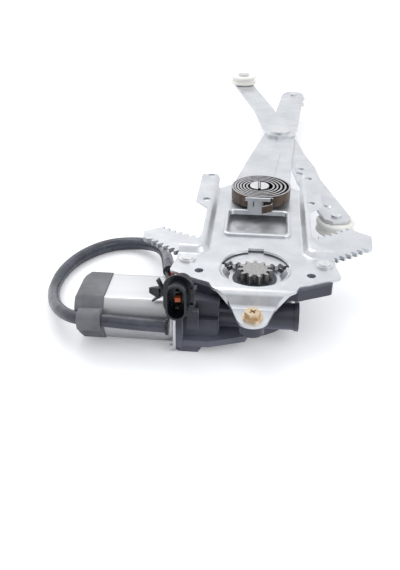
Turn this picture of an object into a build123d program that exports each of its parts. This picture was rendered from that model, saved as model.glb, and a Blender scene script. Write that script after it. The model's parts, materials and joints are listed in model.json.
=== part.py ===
"""Power window regulator of the crossed-arm kind, with its gear motor and harness.

Millimetres, +Z up. The origin is the middle of the four bolt holes in the backplate's
raised flanges, on the face that seats against the door's inner panel. +Y runs from the
motor towards the far ends of the arms, which stand folded beside each other at rest.
"""
import os
from math import acos, cos, degrees, pi, radians, sin, tan

from build123d import *

os.makedirs("parts", exist_ok=True)

# ---- driving dimensions -------------------------------------------------
module = 2.0
pinion_teeth = 11
sector_teeth = 119
pinion_y = -143.0
centre_distance = module * (pinion_teeth + sector_teeth) / 2
pivot_y = pinion_y + centre_distance

plate = 2.0
flange_rise = 5.0
panel_top = -flange_rise
panel_under = panel_top - plate
tongue_top = panel_top - 11.0
well_floor = panel_top - 8.3
table = panel_top - 47.0

bolt_half_x = 45.3
bolt_half_y = 29.1
bolt_hole = 6.6

arm_half = 210.0
arm_plate = 3.0
sector_plate = 3.5
lift_angle = -5.5
equalizer_angle = 13.9
sector_top = panel_under - 1.0
lift_top = sector_top - sector_plate
glass_level = lift_top - 9.0
far_under = lift_top

roller_r = 17.5
roller_width = 11.0
axle_r = 3.5
running = 0.05

motor_y = pinion_y - 22.0
motor_z = panel_top - 26.0
can_r = 25.0
can_flat = 19.0
can_left = -107.0
can_right = -55.5


def level(height):
    """A horizontal plane at the given height."""
    return Plane.XY.offset(height)


def arm_plane(x, y, angle, height):
    """A horizontal plane at a pivot, whose +Y runs along an arm, turned from the part's +Y."""
    return Plane(origin=(x, y, height), x_dir=(cos(radians(angle)), sin(radians(angle)), 0), z_dir=(0, 0, 1))


def arm_side(x, y, angle):
    """The upright plane through an arm: its x runs along the arm and its y runs up."""
    run = (-sin(radians(angle)), cos(radians(angle)), 0)
    return Plane(origin=(x, y, 0), x_dir=run, z_dir=(run[1], -run[0], 0))


def along_x(x, y=motor_y, z=motor_z):
    """A plane across the motor's shaft, facing +X, with its x towards +Y and its y up."""
    return Plane(origin=(x, y, z), x_dir=(0, 1, 0), z_dir=(1, 0, 0))


def save(part, name):
    part.label = name
    export_step(part, f"parts/{name}.step")


scissor_x = -arm_half * sin(radians(lift_angle))
scissor_y = pivot_y + arm_half * cos(radians(lift_angle))
near_x = scissor_x + arm_half * sin(radians(equalizer_angle))
near_y = scissor_y - arm_half * cos(radians(equalizer_angle))
far_x = scissor_x - arm_half * sin(radians(equalizer_angle))
far_y = scissor_y + arm_half * cos(radians(equalizer_angle))
lift_end_x = 2 * scissor_x
lift_end_y = 2 * scissor_y - pivot_y

# ---- backplate ----------------------------------------------------------
bend = 3.4
tongue_bend = 4.5
well_r = 25.2
well_lip = 1.6
well_slope = 36.0
well_wall = 2.4
hole_back = 4.5
notch_w = 12.0
notch_deep = 2.5
boss_r = 16.5
web_in = 36.5
web_out = 40.5
ear_step = pinion_y + 20.0
tongue_y = pinion_y - 50.0
tongue_r = 11.3
tongue_taper = 16.5
corner_r = 5.0
window_w = 48.0
window_h = 44.0
window_y = pinion_y + 78.0
rivet_x = 51.1
rivet_y = pinion_y + 9.8
ear_hole_x = 40.8
ear_hole_y = pinion_y - 7.0
third_hole = (38.9, 53.5)

panel_edge = [
    (26.8, 19.0), (web_in, 9.7), (web_in, ear_step), (59.5, ear_step), (59.3, pinion_y + 10),
    (62.3, pinion_y - 6.5), (61.0, pinion_y - 9.0), (39.5, pinion_y - 20.3), (32.2, pinion_y - 23.4),
    (29.5, pinion_y - 30.2), (22.8, pinion_y - 33.2), (17.8, pinion_y - 35.6), (15.2, pinion_y - 38.5),
    (tongue_r * cos(radians(tongue_taper)), tongue_y - tongue_r * sin(radians(tongue_taper))),
]
with BuildPart() as panel_form:
    with BuildSketch(Plane.YZ):
        with BuildLine():
            FilletPolyline(
                (60, panel_top - plate / 2),
                (pinion_y - 32.2, panel_top - plate / 2),
                (pinion_y - 37.2, tongue_top - plate / 2),
                (pinion_y - 75, tongue_top - plate / 2),
                radius=tongue_bend,
            )
        trace(line_width=plate)
    extrude(amount=75, both=True)
    with BuildSketch(level(tongue_top - 10)):
        with BuildLine():
            right = Polyline(*panel_edge)
            ThreePointArc(right @ 1, (0, tongue_y - tongue_r), (-panel_edge[-1][0], panel_edge[-1][1]))
            Polyline(*[(-x, y) for x, y in reversed(panel_edge)], panel_edge[0])
        make_face()
        fillet(vertices().filter_by_position(Axis.Y, pinion_y - 39, pinion_y - 19), 2.5)
        fillet(vertices().filter_by_position(Axis.Y, pinion_y - 10, pinion_y - 5), 1.2)
        fillet(vertices().group_by(Axis.Y)[-1], 4)
    extrude(amount=60, mode=Mode.INTERSECT)


def flange(side, outline):
    """The raised flange of one side: its web slopes up from the panel, cut to the outline."""
    with BuildPart() as form:
        with BuildSketch(Plane.XZ):
            with BuildLine():
                FilletPolyline(
                    (side * 30, panel_top - plate / 2), (side * web_in, panel_top - plate / 2),
                    (side * web_out, -plate / 2), (side * 75, -plate / 2), radius=bend,
                )
            trace(line_width=plate)
        extrude(amount=170, both=True)
        with BuildSketch(level(-20)):
            with BuildLine():
                Polyline(*[(side * x, y) for x, y in outline], close=True)
            make_face()
        extrude(amount=40, mode=Mode.INTERSECT)
    return form.part


corner = (web_out + corner_r, ear_step + web_out - web_in + corner_r)
flange_foot = [
    (web_in + 1, 9.7), (web_in - 3.5, 9.7), (web_in - 3.5, corner[1]), corner, (corner[0], ear_step + 16),
    (43.4, ear_step + 24), (43.4, -46.5), (54.5, -32.5),
]
left_tab = [(54.5, 30), (52.5, 32.5), (40, 32.5), (38, 30)]
right_tab = [(54.5, 42), (51.9, 49), (44.5, 49), (37.5, 37)]
raised_tab = [(54.5, 42), (46, 68), (43, 70), (35, 70), (33.5, 58), (34.8, 46.5), (42, 41.5)]

with BuildPart() as foot_form:
    with BuildSketch(Plane.YZ):
        with BuildLine():
            FilletPolyline(
                (pinion_y, panel_top - plate / 2), (ear_step, panel_top - plate / 2),
                (ear_step + 4, -plate / 2), (ear_step + 60, -plate / 2), radius=bend,
            )
        trace(line_width=plate)
    extrude(amount=75, both=True)
    with BuildSketch(level(-20)):
        with BuildLine():
            Polyline((corner[0], ear_step - 3.5), (59.0, ear_step - 3.5), (59.0, ear_step + 9),
                     (48, ear_step + 11), (corner[0], ear_step + 16), close=True)
        make_face()
    extrude(amount=40, mode=Mode.INTERSECT)
    with BuildSketch(Plane(origin=(*corner, 0), x_dir=(-1, 0, 0), z_dir=(0, 1, 0))):
        with BuildLine():
            FilletPolyline(
                (0.2, -plate / 2), (corner_r, -plate / 2), (corner_r + web_out - web_in, panel_top - plate / 2),
                (corner_r + 11, panel_top - plate / 2), radius=bend,
            )
        trace(line_width=plate)
    revolve(axis=Axis((*corner, 0), (0, 0, 1)), revolution_arc=90)

rim_rise = 2.2
rim_width = 3.4
rim_round = 1.5
tab_left = -9.3
tab_right = 4.0
ear_left = -11.5
ear_right = 9.8
ear_low = panel_top + 10.5
tab_top = panel_top + 13.2
tab_plate = 1.8
tab_y = window_y + window_h / 2
bushing_r = 8.0
well_depth = panel_top - well_floor


def cone(top, depth, radius):
    """A downward cone of the well's slope, from a circle on the pinion's axis."""
    with BuildPart() as shape:
        with BuildSketch(level(top)):
            with Locations((0, pinion_y)):
                Circle(radius)
        extrude(amount=-depth, taper=well_slope)
    return shape.part


with BuildPart() as backplate:
    add(panel_form.part)
    add(flange(1, flange_foot + right_tab))
    add(flange(-1, flange_foot + left_tab))
    add(foot_form.part)
    add(mirror(foot_form.part, about=Plane.YZ))
    with BuildSketch(level(-plate)):
        with BuildLine():
            Polyline(*raised_tab, close=True)
        make_face()
    extrude(amount=plate)
    with BuildSketch(level(panel_under)):
        with Locations((0, window_y)):
            RectangleRounded(window_w + 2 * rim_width, window_h + 2 * rim_width, 6)
    extrude(amount=plate + rim_rise)
    with BuildSketch(level(panel_under)):
        with Locations((0, window_y)):
            RectangleRounded(window_w, window_h, 4)
    extrude(amount=plate + rim_rise, mode=Mode.SUBTRACT)
    fillet(edges().filter_by_position(Axis.Z, panel_top + rim_rise - 0.01, panel_top + rim_rise + 0.01), rim_round)
    with BuildSketch(Plane(origin=(0, tab_y, 0), x_dir=(1, 0, 0), z_dir=(0, -1, 0))):
        with BuildLine():
            Polyline(
                (tab_left, panel_under), (tab_right, panel_under), (tab_right, ear_low), (ear_right, ear_low),
                (ear_right, tab_top), (ear_left, tab_top), (ear_left, ear_low), (tab_left, ear_low), close=True,
            )
        make_face()
        with Locations((-4.3, panel_top + 7.8)):
            Rectangle(0.9, 5.0, mode=Mode.SUBTRACT)
    extrude(amount=-tab_plate)
    add(cone(panel_top, well_depth + plate, well_r + well_wall))
    add(cone(panel_top, well_depth, well_r), mode=Mode.SUBTRACT)
    with BuildSketch(level(panel_top)):
        with Locations((0, pinion_y)):
            Circle(well_r + well_lip)
    extrude(amount=-1.4, taper=54, mode=Mode.SUBTRACT)
    with BuildSketch(level(well_floor)):
        with Locations((0, pinion_y + 6 + 20)):
            Rectangle(70, 40)
    extrude(amount=panel_under - well_floor, mode=Mode.SUBTRACT)
    with BuildSketch(level(panel_under)):
        with Locations((0, pinion_y + hole_back)):
            Circle(well_r)
        with Locations((0, pinion_y + hole_back / 2)):
            Rectangle(2 * well_r, hole_back)
        with Locations((0, pinion_y + hole_back + well_r)):
            Rectangle(notch_w, 2 * notch_deep)
        with Locations((0, pinion_y - well_r)):
            Rectangle(2 * well_r + 2, 2 * well_r, mode=Mode.SUBTRACT)
    extrude(amount=plate, mode=Mode.SUBTRACT)
    with Locations((0, pinion_y, 0)):
        Hole(boss_r)
    with Locations((0, pivot_y, 0)):
        Hole(bushing_r)
    with Locations(
        (bolt_half_x, bolt_half_y, 0), (-bolt_half_x, bolt_half_y, 0),
        (bolt_half_x, -bolt_half_y, 0), (-bolt_half_x, -bolt_half_y, 0),
        (*third_hole, 0), (ear_hole_x, ear_hole_y, 0), (-ear_hole_x, ear_hole_y, 0),
    ):
        Hole(bolt_hole / 2)
    with Locations((rivet_x, rivet_y, 0), (-rivet_x, rivet_y, 0), (0, tongue_y, 0)):
        Hole(3.0)
save(backplate.part, "backplate")

# ---- bushing, stud and counterbalance spring -----------------------------
stud_r = 6.0
stud_head_r = 8.5
stud_top = panel_top + 13.5
slot_width = 2.4
hub_swage = 2.5


def turned(x, y, steps):
    """A piece turned about one upright axis, from (radius, bottom, top) steps."""
    with BuildPart() as piece:
        for radius, low, high in steps:
            with BuildSketch(level(low)):
                with Locations((x, y)):
                    Circle(radius)
            extrude(amount=high - low)
    return piece.part


with BuildPart() as pivot_bushing:
    add(turned(0, pivot_y, [(bushing_r, panel_under, panel_top), (11.5, panel_top, panel_top + 0.8)]))
    with Locations((0, pivot_y, panel_top + 0.8)):
        Hole(stud_r + running)
save(pivot_bushing.part, "pivot_bushing")

with BuildPart() as pivot_stud:
    add(turned(0, pivot_y, [
        (10.0, lift_top - arm_plate - hub_swage, lift_top - arm_plate),
        (stud_r, lift_top - arm_plate, panel_top + 1.0),
        (13.0, lift_top, panel_under - 0.4),
        (stud_head_r, panel_top + 1.0, stud_top),
    ]))
    with BuildSketch(level(panel_top + 2.2)):
        with Locations((0, pivot_y)):
            Rectangle(slot_width, 3 * stud_head_r)
    extrude(amount=20, mode=Mode.SUBTRACT)
    fillet(edges().filter_by(GeomType.CIRCLE).group_by(Axis.Z)[-1], 0.6)
save(pivot_stud.part, "pivot_stud")

strip = 1.5
strip_height = 10.0
strip_bottom = panel_top + 2.6
coil_in = 10.4
coil_out = 27.2
coil_shift = 2.8
coil_start = 90.0
coil_turn = 1998.0
tail_height = 6.4


def spiral(offset_r):
    """Points along the flat spring, offset_r outside its middle line; its outer turns lie off centre."""
    count = 72
    points = []
    for i in range(count + 1):
        share = i / count
        angle = radians(coil_start + coil_turn * share)
        radius = coil_in + (coil_out - coil_in) * share + offset_r
        points.append((coil_shift * share**2 + radius * cos(angle), radius * sin(angle)))
    return points


with BuildPart() as counterbalance_spring:
    with BuildSketch(Plane(origin=(0, pivot_y, strip_bottom))):
        with BuildLine():
            inside = Spline(*spiral(-strip / 2))
            outside = Spline(*spiral(strip / 2))
            Line(inside @ 0, outside @ 0)
            Line(inside @ 1, outside @ 1)
        make_face()
        with BuildLine():
            FilletPolyline((0, -5), (0, coil_in), (-4, coil_in + 0.15), radius=1.2)
        trace(line_width=strip - 0.1)
        with BuildLine():
            tail = spiral(0)[-1]
            FilletPolyline((tail[0] - 1.5, tail[1] - 0.5), (ear_right + 2.4, tail[1] + 0.6),
                           (ear_right + 0.9, tab_y - pivot_y - 2.0), (tab_right - 0.8, tab_y - pivot_y - 7.0),
                           radius=1.2)
        trace(line_width=strip - 0.1)
    extrude(amount=strip_height)
    with BuildSketch(Plane(origin=(0, pivot_y, strip_bottom + tail_height))):
        with Locations((tab_right, tab_y - pivot_y - 3.4)):
            Rectangle(20, 11)
    extrude(amount=strip_height, mode=Mode.SUBTRACT)
save(counterbalance_spring.part, "counterbalance_spring")

# ---- toothed pieces ------------------------------------------------------
pressure = radians(20)


def involute(angle):
    return tan(angle) - angle


def tooth(teeth, radii, thinning):
    """Half the angle of a tooth at each radius, for involute flanks cut thin by `thinning`."""
    pitch_r = module * teeth / 2
    base_r = pitch_r * cos(pressure)
    halves = []
    for radius in radii:
        turn = acos(base_r / radius) if radius > base_r else 0.0
        half = pi / 2 / teeth - thinning / 2 / pitch_r + involute(pressure) - involute(turn)
        halves.append((radius, degrees(half)))
    return halves


def teeth_points(teeth, radii, thinning, first, count, clockwise=False):
    """Points along a run of teeth about (0, 0), the first tooth at the angle `first`."""
    pitch = 360 / teeth
    profile = tooth(teeth, radii, thinning)
    points = []
    for i in range(count):
        middle = first + pitch * i
        for radius, half in profile:
            points.append((radius, middle - half))
        for radius, half in reversed(profile):
            points.append((radius, middle + half))
    return [(r * cos(radians(a)), r * sin(radians(a))) for r, a in points]


sector_pitch_r = module * sector_teeth / 2
sector_count = 30
sector_first = -90 - 180 / sector_teeth * (sector_count - 1)
sector_radii = [sector_pitch_r - 2.5, sector_pitch_r - 0.4, sector_pitch_r + 1.3]
nest = (-9.0, 36.0)
nest_first = -90 - 34.5
nest_count = 27
rivet_spots = [(-28.0, -90.5), (12.0, -92.0), (-8.0, -94.0)]

with BuildPart() as sector_gear:
    with BuildSketch(Plane(origin=(0, pivot_y, sector_top - sector_plate))):
        with BuildLine():
            outer = teeth_points(sector_teeth, sector_radii, 0.3, sector_first, sector_count)
            inner = [
                (x + nest[0], y + nest[1])
                for x, y in teeth_points(sector_teeth, sector_radii[::2], 0.3, nest_first, nest_count)
            ]
            right_end = [(88.0, -83.6), (91.5, -80.0), (93.0, -60.0)]
            left_end = [(-92.6, -69.6), (-91.5, -80.0), (-88.0, -83.6)]
            Polyline(*left_end, *outer, *right_end, *reversed(inner), close=True)
        make_face()
        with Locations(*rivet_spots):
            Circle(3.5, mode=Mode.SUBTRACT)
    extrude(amount=sector_plate)
save(sector_gear.part, "sector_gear")

for number, (x, y) in enumerate(rivet_spots, 1):
    rivet = turned(x, pivot_y + y, [
        (3.5, lift_top - arm_plate, sector_top), (6.0, lift_top - arm_plate - 1.8, lift_top - arm_plate),
    ])
    save(rivet, f"sector_rivet_{number}")

# ---- arms ----------------------------------------------------------------
jog = 22.0
near_top = lift_top - arm_plate - 0.6
axle_spots = {"glass_near": (near_x, near_y), "glass_far": (lift_end_x, lift_end_y), "guide": (far_x, far_y)}


def pressed_arm(side_plane, profile, top_plane, outline, beads, bores, corner=5.0):
    """A pressed arm: its bent side profile cut to its plan, with stiffening beads and bores."""
    with BuildPart() as arm:
        with BuildSketch(side_plane):
            with BuildLine():
                FilletPolyline(*profile, radius=6)
            trace(line_width=arm_plate)
        extrude(amount=60, both=True)
        with BuildSketch(top_plane.offset(-60)):
            with BuildLine():
                Polyline(*outline, close=True)
            make_face()
            fillet(vertices(), corner)
        extrude(amount=120, mode=Mode.INTERSECT)
        for low, high, x, width, height in beads:
            with BuildSketch(top_plane.offset(height)):
                with Locations((x, (low + high) / 2)):
                    SlotOverall(high - low, width, rotation=90)
            extrude(amount=arm_plate)
        for y, radius in bores:
            with BuildSketch(top_plane.offset(-60)):
                with Locations((0, y)):
                    Circle(radius)
            extrude(amount=120, mode=Mode.SUBTRACT)
    return arm.part


lift_plan = arm_plane(0, pivot_y, lift_angle, lift_top)
with BuildPart() as lift_arm:
    add(pressed_arm(
        arm_side(0, pivot_y, lift_angle),
        [(-110, lift_top - arm_plate / 2), (arm_half + 30, lift_top - arm_plate / 2),
         (arm_half + 30 + jog, glass_level - arm_plate / 2), (2 * arm_half + 40, glass_level - arm_plate / 2)],
        lift_plan,
        [(-30, -99), (30, -99), (33, -20), (24, 60), (20.5, 120), (17.5, arm_half), (15, 2 * arm_half + 2),
         (9, 2 * arm_half + 16), (-9, 2 * arm_half + 16), (-15, 2 * arm_half + 2), (-17.5, arm_half),
         (-25, 120), (-29, 60), (-33, -20)],
        [(28, 150, 0, 13, -2.0)],
        [(0, stud_r), (arm_half, 7.0 + running), (2 * arm_half, axle_r)],
    ))
    with BuildSketch(level(lift_top - arm_plate)):
        with Locations(*[(x, pivot_y + y) for x, y in rivet_spots]):
            Circle(3.5)
    extrude(amount=arm_plate, mode=Mode.SUBTRACT)
save(lift_arm.part, "lift_arm")

near_plan = arm_plane(scissor_x, scissor_y, equalizer_angle + 180, near_top)
dome_back = 23.8
with BuildPart() as equalizer_near_arm:
    add(pressed_arm(
        arm_side(scissor_x, scissor_y, equalizer_angle + 180),
        [(-30, near_top - arm_plate / 2), (100, near_top - arm_plate / 2),
         (100 + jog, glass_level - arm_plate / 2), (arm_half + 40, glass_level - arm_plate / 2)],
        near_plan,
        [(-16, -8), (-8, -16), (8, -16), (16, -8), (16, 20), (12.3, 60), (12.3, arm_half + 4.5),
         (6.8, arm_half + 11), (-6.8, arm_half + 11), (-12.3, arm_half + 4.5), (-12.3, 60), (-16, 20)],
        [],
        [(0, 7.0), (arm_half, axle_r)],
        corner=1.5,
    ))
    with BuildSketch(near_plan.offset(glass_level - near_top)):
        with Locations((0, arm_half - dome_back)):
            Circle(4.6)
    extrude(amount=1.3, taper=35)
save(equalizer_near_arm.part, "equalizer_near_arm")

far_top = far_under + arm_plate
far_plan = arm_plane(scissor_x, scissor_y, equalizer_angle, far_top)
save(pressed_arm(
    arm_side(scissor_x, scissor_y, equalizer_angle),
    [(-30, far_top - arm_plate / 2), (60, far_top - arm_plate / 2),
     (60 + jog, far_top + 3 - arm_plate / 2), (arm_half + 40, far_top + 3 - arm_plate / 2)],
    far_plan,
    [(-16, -8), (-8, -16), (8, -16), (16, -8), (16, 20), (12.5, 60), (12.5, arm_half + 5), (7, arm_half + 14),
     (-7, arm_half + 14), (-12.5, arm_half + 5), (-12.5, 60), (-16, 20)],
    [],
    [(0, 7.0), (arm_half, axle_r)],
), "equalizer_far_arm")

save(turned(scissor_x, scissor_y, [
    (11.0, near_top - arm_plate - 2.2, near_top - arm_plate), (7.0, near_top - arm_plate, far_top),
    (11.0, far_top, far_top + 2.2),
]), "scissor_rivet")

with BuildPart() as scissor_washer:
    add(turned(scissor_x, scissor_y, [(13.0, near_top, near_top + 0.55)]))
    with Locations((scissor_x, scissor_y, near_top + 0.55)):
        Hole(7.0)
save(scissor_washer.part, "scissor_washer")

# ---- rollers and their axles --------------------------------------------
gap = 0.5
axle_head = 1.6
axle_head_r = 4.6
axle_end = 2.0


def roller(x, y, low):
    """A nylon roller with a groove between its two rims, on an upright axle."""
    half = [
        (axle_r + running, 0), (roller_r - 1.0, 0), (roller_r, 1.0), (roller_r, 2.6), (roller_r - 2.2, 3.9),
        (roller_r - 2.2, roller_width - 3.9), (roller_r, roller_width - 2.6), (roller_r, roller_width - 1.0),
        (roller_r - 1.0, roller_width),
        (axle_r + running, roller_width),
    ]
    with BuildPart() as wheel:
        with BuildSketch(Plane(origin=(x, y, low), x_dir=(1, 0, 0), z_dir=(0, -1, 0))):
            with BuildLine():
                Polyline(*half, close=True)
            make_face()
        revolve(axis=Axis((x, y, low), (0, 0, 1)))
    return wheel.part


glass_under = glass_level - arm_plate
guide_top = far_top + 3
for name in ("glass_near", "glass_far"):
    x, y = axle_spots[name]
    save(turned(x, y, [
        (axle_head_r, glass_level, glass_level + axle_head),
        (axle_r, glass_under - 2 * gap - roller_width, glass_level),
        (7.0, glass_under - 2 * gap - roller_width - axle_end, glass_under - 2 * gap - roller_width),
    ]), f"{name}_axle")
    save(roller(x, y, glass_under - gap - roller_width), f"{name}_roller")

save(turned(far_x, far_y, [
    (axle_head_r, guide_top - arm_plate - axle_head, guide_top - arm_plate),
    (axle_r, guide_top - arm_plate, guide_top + 2 * gap + roller_width),
    (7.0, guide_top + 2 * gap + roller_width, guide_top + 2 * gap + roller_width + axle_end),
]), "guide_axle")
save(roller(far_x, far_y, guide_top + gap), "guide_roller")

# ---- output pinion and worm wheel ---------------------------------------
pinion_top = panel_top
shaft_r = 6.0
wheel_low = motor_z - 7.0
wheel_high = motor_z + 7.0
worm_tip_r = 5.4
wheel_tip_r = pinion_y - motor_y - worm_tip_r - 0.15
wheel_teeth = 60
cup_r = 12.5
shaft_low = table + 2.5

with BuildPart() as output_pinion:
    with BuildSketch(Plane(origin=(0, pinion_y, well_floor + 0.6))):
        with BuildLine():
            Polyline(*teeth_points(pinion_teeth, [9.2, 10.4, 11.0, 12.0, 13.0], 0.3, 90, pinion_teeth), close=True)
        make_face()
    extrude(amount=pinion_top - well_floor - 0.6)
    with BuildSketch(level(shaft_low)):
        with Locations((0, pinion_y)):
            Circle(shaft_r)
    extrude(amount=well_floor + 0.6 - shaft_low)
save(output_pinion.part, "output_pinion")

with BuildPart() as worm_wheel:
    with BuildSketch(Plane(origin=(0, pinion_y, wheel_low))):
        Circle(wheel_tip_r - 0.9)
        with PolarLocations(wheel_tip_r - 0.9, wheel_teeth):
            Rectangle(1.8, 0.85)
        Circle(shaft_r + running, mode=Mode.SUBTRACT)
    extrude(amount=wheel_high - wheel_low)
    with BuildSketch(Plane(origin=(0, pinion_y, wheel_low + 3))):
        Circle(cup_r)
        Circle(shaft_r + 2.5, mode=Mode.SUBTRACT)
    extrude(amount=20, mode=Mode.SUBTRACT)
    with BuildSketch(Plane(origin=(0, pinion_y, wheel_low + 10))):
        Circle(cup_r)
    extrude(amount=20, mode=Mode.SUBTRACT)
save(worm_wheel.part, "worm_wheel")

with BuildPart() as damper:
    with BuildSketch(Plane(origin=(0, pinion_y, wheel_low + 3))):
        Circle(cup_r)
        Circle(shaft_r + 2.5, mode=Mode.SUBTRACT)
    extrude(amount=7)
save(damper.part, "damper")

with BuildPart() as drive_plate:
    with BuildSketch(Plane(origin=(0, pinion_y, wheel_low + 10))):
        Circle(cup_r)
        Circle(shaft_r, mode=Mode.SUBTRACT)
    extrude(amount=2.5)
save(drive_plate.part, "drive_plate")

# ---- gear housing --------------------------------------------------------
cover_top = table + 5.0
drum_r = 28.5
drum_top = well_floor - plate
lip_r = 25.5
lip_low = cover_top + 1.0
lip_high = lip_low + 5.0
barrel_r = 9.8
barrel_end = 33.0
end_plate_thick = 2.0
block_left = can_right + end_plate_thick
block_right = -24.0
block_front = pinion_y - 35.5
bulge_front = pinion_y - 39.0
bulge_top = panel_top - 22.0
block_back = motor_y + 25.0
block_top = panel_top - 9.0
face_w = 50.6
face_low = table + 0.6
face_high = panel_top - 7.6
lug_top = panel_under
lug_floor = panel_top - 10.5
lug_boss_r = 7.0
tongue_boss_r = 8.5
tongue_boss_low = tongue_top - plate - 9.0
insert_low = tongue_boss_low + 1.0
insert_r = 4.5
cup_clear_r = well_r + well_wall + 0.5
worm_bore_r = 6.4
chamber_r = 17.6
brush_bore_r = 14.0
brush_bore_end = -37.0
front_bush_x = 22.0
front_bush_end = 29.0


def motor_face(grow):
    """The outline of the joint between motor and housing."""
    with Locations((0.6, (face_low + face_high) / 2 - motor_z)):
        RectangleRounded(face_w + 2 * grow, face_high - face_low + 2 * grow, 4)


with BuildPart() as gear_housing:
    with BuildSketch(level(lip_high)):
        with Locations((0, pinion_y)):
            Circle(drum_r)
    extrude(amount=drum_top - lip_high)
    with BuildSketch(level(cover_top)):
        with Locations((0, pinion_y)):
            Circle(lip_r)
    extrude(amount=lip_high - cover_top)
    with BuildSketch(level(drum_top)):
        with Locations((0, pinion_y)):
            Circle(boss_r)
    extrude(amount=well_floor + 0.3 - drum_top)
    with BuildSketch(along_x(block_left)):
        Circle(barrel_r)
    extrude(amount=barrel_end - block_left)
    with BuildSketch(along_x(barrel_end - 3)):
        Circle(barrel_r + 0.9)
    extrude(amount=3)
    with BuildSketch(level(bulge_top)):
        with Locations(((block_left + block_right) / 2, (block_front + block_back) / 2)):
            Rectangle(block_right - block_left, block_back - block_front)
    extrude(amount=block_top - bulge_top)
    chamfer(edges().filter_by(Axis.X).filter_by_position(Axis.Z, block_top - 0.1, block_top + 0.1), 1.2)
    with BuildSketch(level(cover_top)):
        with Locations(((block_left + block_right) / 2, (bulge_front + block_back) / 2)):
            Rectangle(block_right - block_left, block_back - bulge_front)
        fillet(vertices().group_by(Axis.X)[-1], 3)
    extrude(amount=bulge_top - cover_top)
    with BuildSketch(level(panel_top - 28)):
        with Locations((-42.0, bulge_front - 0.5)):
            Rectangle(8.0, 6.0)
    extrude(amount=14.5)
    with BuildSketch(along_x(-48, bulge_front - 0.6, panel_top - 19)):
        RectangleRounded(3.0, 5.5, 1)
    extrude(amount=12, mode=Mode.SUBTRACT)
    with BuildSketch(along_x(block_left)):
        motor_face(-0.5)
    extrude(amount=4.5)
    with BuildSketch(level(table)):
        with Locations((block_left, motor_y)):
            Rectangle(20, 2 * face_w)
    extrude(amount=cover_top - table, mode=Mode.SUBTRACT)
    with BuildSketch(level(lip_low)):
        with BuildLine():
            Polyline((block_left, pinion_y - 45.3), (-30.5, pinion_y - 45.6), (-4.7, pinion_y - 36),
                     (-1, pinion_y - 25), (0, pinion_y), (block_left, pinion_y), close=True)
        make_face()
    extrude(amount=lip_high - lip_low)
    with BuildSketch(level(panel_top - 17)):
        with Locations((-18, pinion_y - 31)):
            Rectangle(13, 9)
    extrude(amount=2.5)
    for side in (-1, 1):
        with BuildSketch(level(lug_floor)):
            with BuildLine():
                Polyline((side * 14, pinion_y - 24), (side * 31, pinion_y - 27), (side * 56, pinion_y - 14.5),
                         (side * 56, pinion_y + 5), (side * 18, pinion_y + 5), close=True)
            make_face()
            fillet(vertices().group_by(Axis.X)[-1 if side > 0 else 0], 3)
        extrude(amount=lug_top - lug_floor)
        with BuildSketch(level(lug_floor - 6)):
            with Locations((side * rivet_x, rivet_y)):
                Circle(lug_boss_r)
            with Locations((side * 34, pinion_y + 4)):
                Rectangle(34, 12)
        extrude(amount=block_top + 1 - lug_floor + 6)
        with BuildSketch(level(lug_floor)):
            with Locations((side * rivet_x, rivet_y)):
                Circle(lug_boss_r)
        extrude(amount=lug_top - lug_floor)
    with BuildSketch(level(tongue_boss_low)):
        with Locations((0, tongue_y)):
            Circle(tongue_boss_r)
        with Locations((0, tongue_y + 9)):
            Rectangle(13, 18)
    extrude(amount=tongue_top - plate - tongue_boss_low)
    with BuildSketch(level(drum_top)):
        with Locations((0, pinion_y)):
            Circle(cup_clear_r)
            Circle(boss_r, mode=Mode.SUBTRACT)
    extrude(amount=30, mode=Mode.SUBTRACT)
    with BuildSketch(level(cover_top)):
        with Locations((0, pinion_y)):
            Circle(chamber_r)
    extrude(amount=wheel_high + 1 - cover_top, mode=Mode.SUBTRACT)
    with BuildSketch(along_x(block_left)):
        with Locations((0.6, 0)):
            Rectangle(face_w, 2 * can_flat + 0.2)
    extrude(amount=-6, mode=Mode.SUBTRACT)
    with BuildSketch(along_x(block_left - 5)):
        Circle(worm_bore_r)
    extrude(amount=front_bush_x - block_left + 5, mode=Mode.SUBTRACT)
    with BuildSketch(along_x(front_bush_x)):
        Circle(5.0)
    extrude(amount=front_bush_end - front_bush_x + 2, mode=Mode.SUBTRACT)
    with BuildSketch(along_x(block_left - 5)):
        Circle(brush_bore_r)
    extrude(amount=brush_bore_end - block_left + 5, mode=Mode.SUBTRACT)
    with Locations((0, pinion_y, 0)):
        Hole(shaft_r + running)
    with BuildSketch(level(lug_floor - 10)):
        with Locations((rivet_x, rivet_y), (-rivet_x, rivet_y)):
            Circle(3.0)
    extrude(amount=40, mode=Mode.SUBTRACT)
    with BuildSketch(level(insert_low)):
        with Locations((0, tongue_y)):
            Circle(insert_r)
    extrude(amount=40, mode=Mode.SUBTRACT)
save(gear_housing.part, "gear_housing")

cover_edge = [
    (block_left, pinion_y - 43.5), (-38, pinion_y - 43.5), (-35, pinion_y - 34), (-12, pinion_y - 18),
    (-8, pinion_y + 25), (-25, pinion_y + 18), (block_left, block_back + 2),
]
cover_r = 19.5
cover_screws = [(19.0, -135.0), (-14.0, -122.5), (-46.0, -181.0)]
with BuildPart() as housing_cover:
    with BuildSketch(level(table)):
        with BuildLine():
            Polyline(*cover_edge, close=True)
        make_face()
        fillet(vertices().group_by(Axis.X)[0], 3)
        with Locations((0, pinion_y)):
            Circle(cover_r)
        with Locations(cover_screws[0]):
            Circle(5.2)
    extrude(amount=cover_top - table)
    with BuildSketch(level(shaft_low)):
        with Locations((0, pinion_y)):
            Circle(shaft_r + running)
    extrude(amount=20, mode=Mode.SUBTRACT)
    with BuildSketch(level(table)):
        with Locations(*cover_screws):
            Circle(3.2)
    extrude(amount=2.4, mode=Mode.SUBTRACT)
    with BuildSketch(level(table)):
        with Locations(*cover_screws):
            Circle(1.6)
    extrude(amount=20, mode=Mode.SUBTRACT)
save(housing_cover.part, "housing_cover")

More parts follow.
